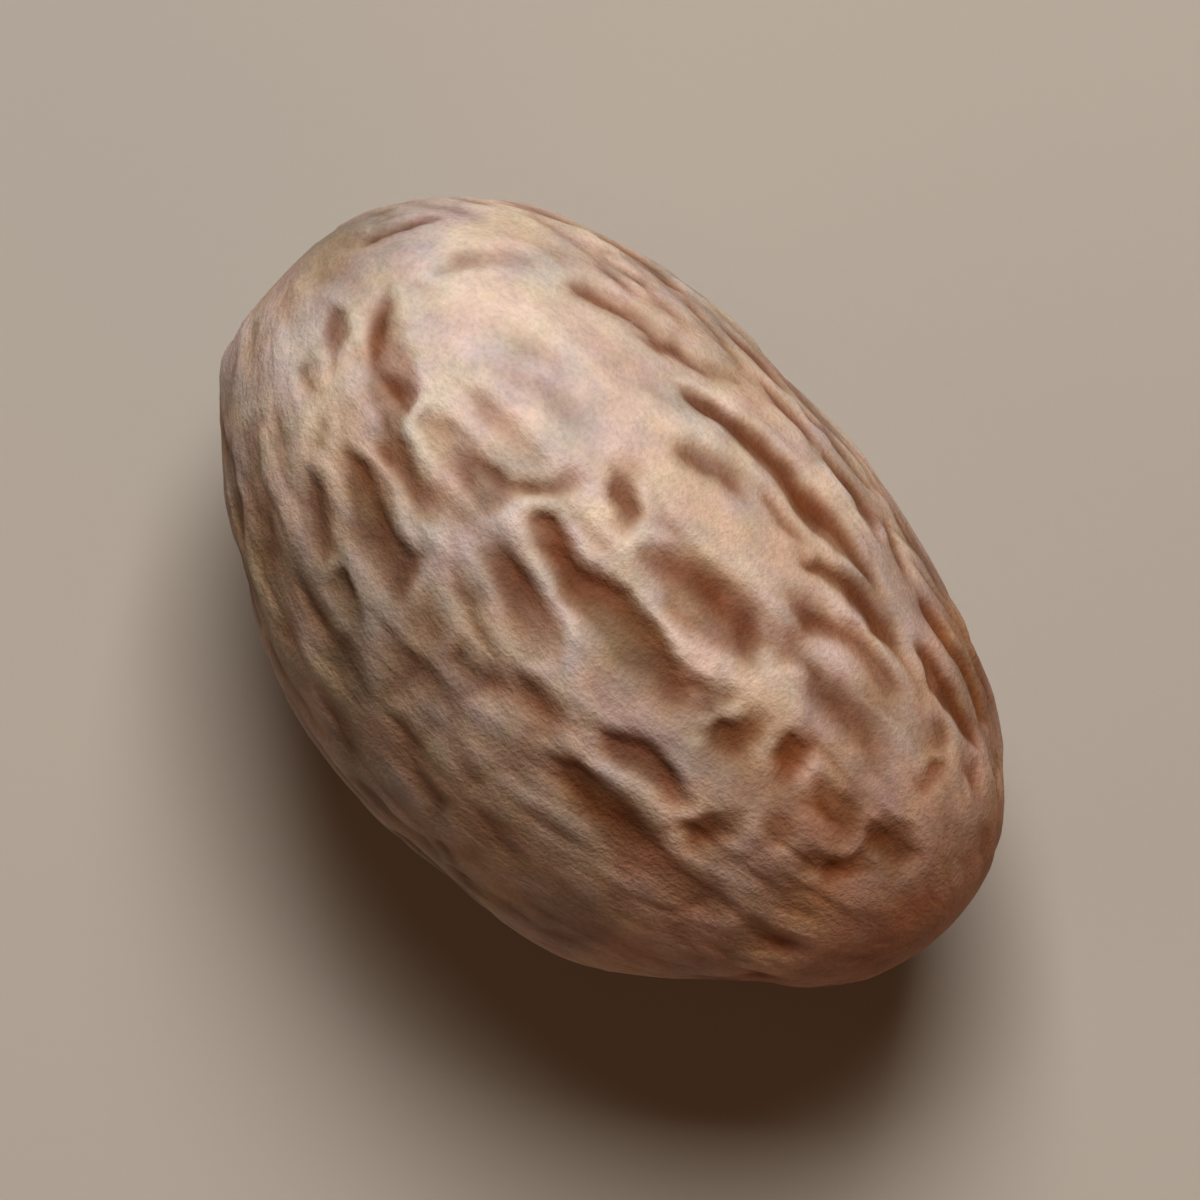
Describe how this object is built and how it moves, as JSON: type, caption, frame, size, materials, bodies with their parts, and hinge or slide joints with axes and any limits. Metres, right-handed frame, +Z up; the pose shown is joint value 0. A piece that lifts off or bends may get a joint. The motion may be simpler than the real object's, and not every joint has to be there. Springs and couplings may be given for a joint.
{
  "type": "whole nutmeg",
  "caption": "Whole shelled nutmeg: a slightly bent, egg-shaped dried kernel with wrinkled furrows, lying on its side.",
  "frame": {"origin": "on the floor, under the middle of the nutmeg's box, on the small flat that it rests on", "axes": "+X along the nutmeg's length, from the hilum end to the chalaza end; +Z up; +Y completes them, towards the side that both ends bend to"},
  "size_m": [0.0284, 0.0184, 0.0176],
  "materials": {
    "nutmeg": "dry and matt, paler and slightly polished on the ridges"
  },
  "bodies": {
    "root": {"nutmeg": "nutmeg"}
  },
  "joints": []
}
